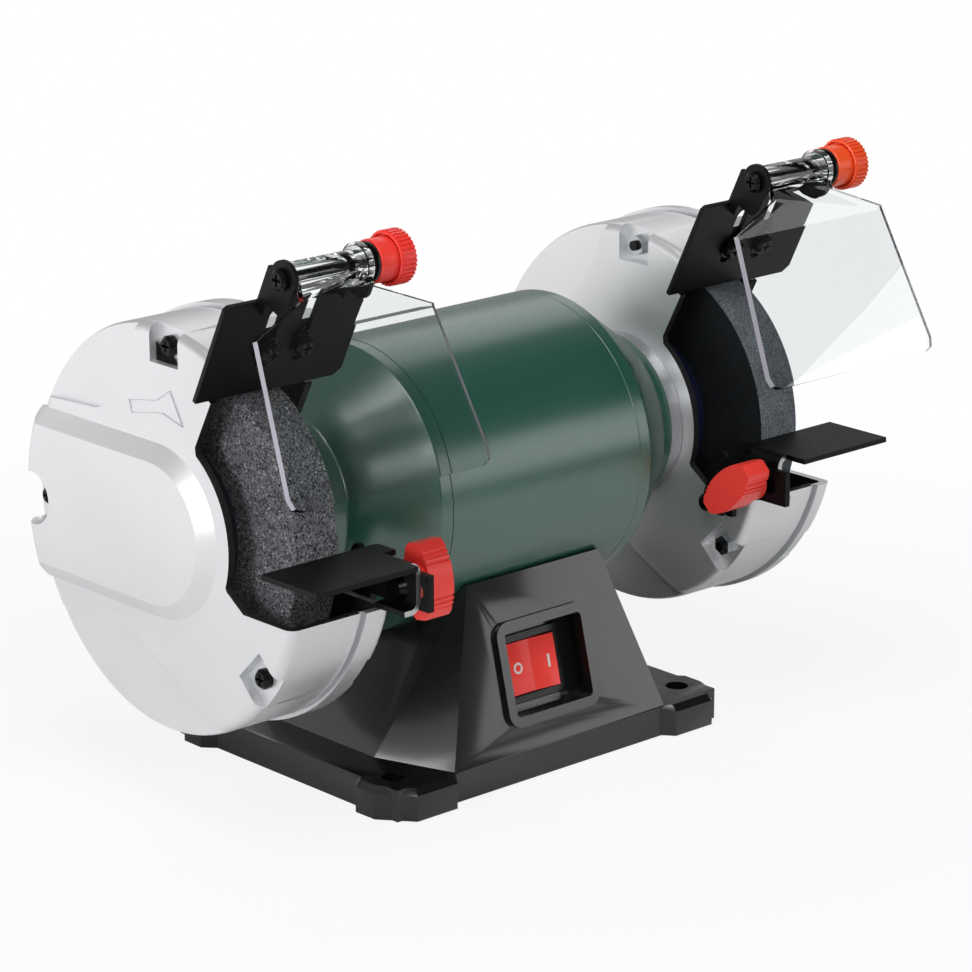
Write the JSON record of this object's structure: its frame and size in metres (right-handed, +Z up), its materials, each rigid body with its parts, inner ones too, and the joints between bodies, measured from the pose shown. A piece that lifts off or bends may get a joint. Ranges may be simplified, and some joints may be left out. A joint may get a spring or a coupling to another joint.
{
  "type": "bench grinder",
  "caption": "Electric bench grinder with a wheel at each end of its motor, guards, spark arrestors, clear eye shields, tool rests and a cast base with a rocker switch.",
  "frame": {"origin": "centre of the four bench bolt holes, on the bench plane under the base", "axes": "+X along the shaft to the right as seen by the user, -Y towards the user, +Z up"},
  "size_m": [0.3246, 0.1786, 0.2224],
  "materials": {
    "black_paint": "gloss black enamel on die-cast aluminium",
    "black_sheet": "satin black powder coat",
    "green_paint": "satin green enamel on steel",
    "green_cast": "satin green enamel on die-cast aluminium",
    "silver_paint": "satin silver paint on die-cast aluminium",
    "bare_steel": "turned and plated steel",
    "black_screw": "blackened steel screws",
    "zinc": "zinc plated",
    "laminations": "stacked electrical steel",
    "copper": "enamelled copper wire",
    "grit_coarse": "coarse grey abrasive",
    "grit_fine": "fine blue-grey abrasive",
    "label_dark": "printed paper disc",
    "label_blue": "printed paper disc",
    "clear": "clear moulded plastic",
    "red_knob": "satin red plastic",
    "orange_knob": "satin orange-red plastic",
    "red_rocker": "gloss red plastic",
    "black_plastic": "black plastic",
    "pale_plastic": "off-white plastic can"
  },
  "bodies": {
    "frame": {"base_housing": "black_paint", "base_plate": "black_sheet", "base_screws": "zinc", "saddle_screws": "zinc", "switch_body": "black_plastic", "capacitor": "pale_plastic", "capacitor_clip": "zinc", "cable_gland": "black_plastic", "motor_shell": "green_paint", "end_cap_left": "green_cast", "end_cap_right": "green_cast", "stator_core": "laminations", "stator_windings": "copper", "bearing_left": "bare_steel", "bearing_right": "bare_steel", "inner_guard_left": "silver_paint", "outer_cover_left": "silver_paint", "inner_guard_right": "silver_paint", "outer_cover_right": "silver_paint", "guard_bolts_left": "black_screw", "guard_bolts_right": "black_screw", "guard_nuts_left": "zinc", "guard_nuts_right": "zinc", "guard_mount_screws": "black_screw", "arrestor_screws_left": "black_screw", "arrestor_screws_right": "black_screw", "rest_bracket_left": "black_sheet", "rest_bracket_right": "black_sheet", "bracket_screws": "black_screw"},
    "rotor": {"shaft": "bare_steel", "rotor_core": "laminations", "wheel_left": "grit_coarse", "wheel_right": "grit_fine", "inner_flange_left": "bare_steel", "inner_flange_right": "bare_steel", "outer_flange_left": "bare_steel", "outer_flange_right": "bare_steel", "arbor_nut_left": "bare_steel", "arbor_nut_right": "bare_steel", "wheel_labels_left": "label_dark", "wheel_labels_right": "label_blue"},
    "rocker": {"switch_rocker": "red_rocker"},
    "arrestor_left": {"spark_arrestor_left": "black_sheet", "hinge_bolt_left": "black_screw", "hinge_washer_left": "black_plastic"},
    "shield_left": {"eye_shield_left": "clear"},
    "shield_knob_body_left": {"shield_knob_left": "red_knob"},
    "rest_left": {"tool_rest_left": "black_sheet", "rest_bolt_left": "black_screw"},
    "rest_knob_body_left": {"rest_knob_left": "red_knob"},
    "arrestor_right": {"spark_arrestor_right": "black_sheet", "hinge_bolt_right": "black_screw", "hinge_washer_right": "black_plastic"},
    "shield_right": {"eye_shield_right": "clear"},
    "shield_knob_body_right": {"shield_knob_right": "orange_knob"},
    "rest_right": {"tool_rest_right": "black_sheet", "rest_bolt_right": "black_screw"},
    "rest_knob_body_right": {"rest_knob_right": "red_knob"}
  },
  "joints": [
    {"name": "rotor_spin", "type": "hinge", "parent": "frame", "child": "rotor", "pos_m": [0, 0, 0.109], "axis": [1, 0, 0], "continuous": true},
    {"name": "rocker_tilt", "type": "hinge", "parent": "frame", "child": "rocker", "pos_m": [-0.0018, -0.04554, 0.03754], "axis": [0, 0.2418, 0.9703], "range_deg": [0, 12]},
    {"name": "arrestor_slide_left", "type": "slide", "parent": "frame", "child": "arrestor_left", "axis": [0, -0.4384, 0.8988], "range_m": [-0.0012, 0.004]},
    {"name": "shield_lift_left", "type": "hinge", "parent": "arrestor_left", "child": "shield_left", "pos_m": [-0.1152, -0.06353, 0.21241], "axis": [-1, 0, 0], "range_deg": [-5, 85]},
    {"name": "shield_knob_turn_left", "type": "hinge", "parent": "arrestor_left", "child": "shield_knob_body_left", "pos_m": [-0.1152, -0.06353, 0.21241], "axis": [1, 0, 0], "range_deg": [0, 180]},
    {"name": "rest_slide_left", "type": "slide", "parent": "frame", "child": "rest_left", "axis": [0, -1, 0], "range_m": [-0.0015, 0.008]},
    {"name": "rest_knob_turn_left", "type": "hinge", "parent": "rest_left", "child": "rest_knob_body_left", "pos_m": [-0.0912, -0.0805, 0.0976], "axis": [1, 0, 0], "range_deg": [0, 180]},
    {"name": "arrestor_slide_right", "type": "slide", "parent": "frame", "child": "arrestor_right", "axis": [0, -0.4384, 0.8988], "range_m": [-0.0012, 0.004]},
    {"name": "shield_lift_right", "type": "hinge", "parent": "arrestor_right", "child": "shield_right", "pos_m": [0.1183, -0.06353, 0.21241], "axis": [-1, 0, 0], "range_deg": [-5, 85]},
    {"name": "shield_knob_turn_right", "type": "hinge", "parent": "arrestor_right", "child": "shield_knob_body_right", "pos_m": [0.1183, -0.06353, 0.21241], "axis": [1, 0, 0], "range_deg": [0, 180]},
    {"name": "rest_slide_right", "type": "slide", "parent": "frame", "child": "rest_right", "axis": [0, -1, 0], "range_m": [-0.0015, 0.008]},
    {"name": "rest_knob_turn_right", "type": "hinge", "parent": "rest_right", "child": "rest_knob_body_right", "pos_m": [0.0912, -0.075, 0.0976], "axis": [1, 0, 0], "range_deg": [0, 180]}
  ]
}
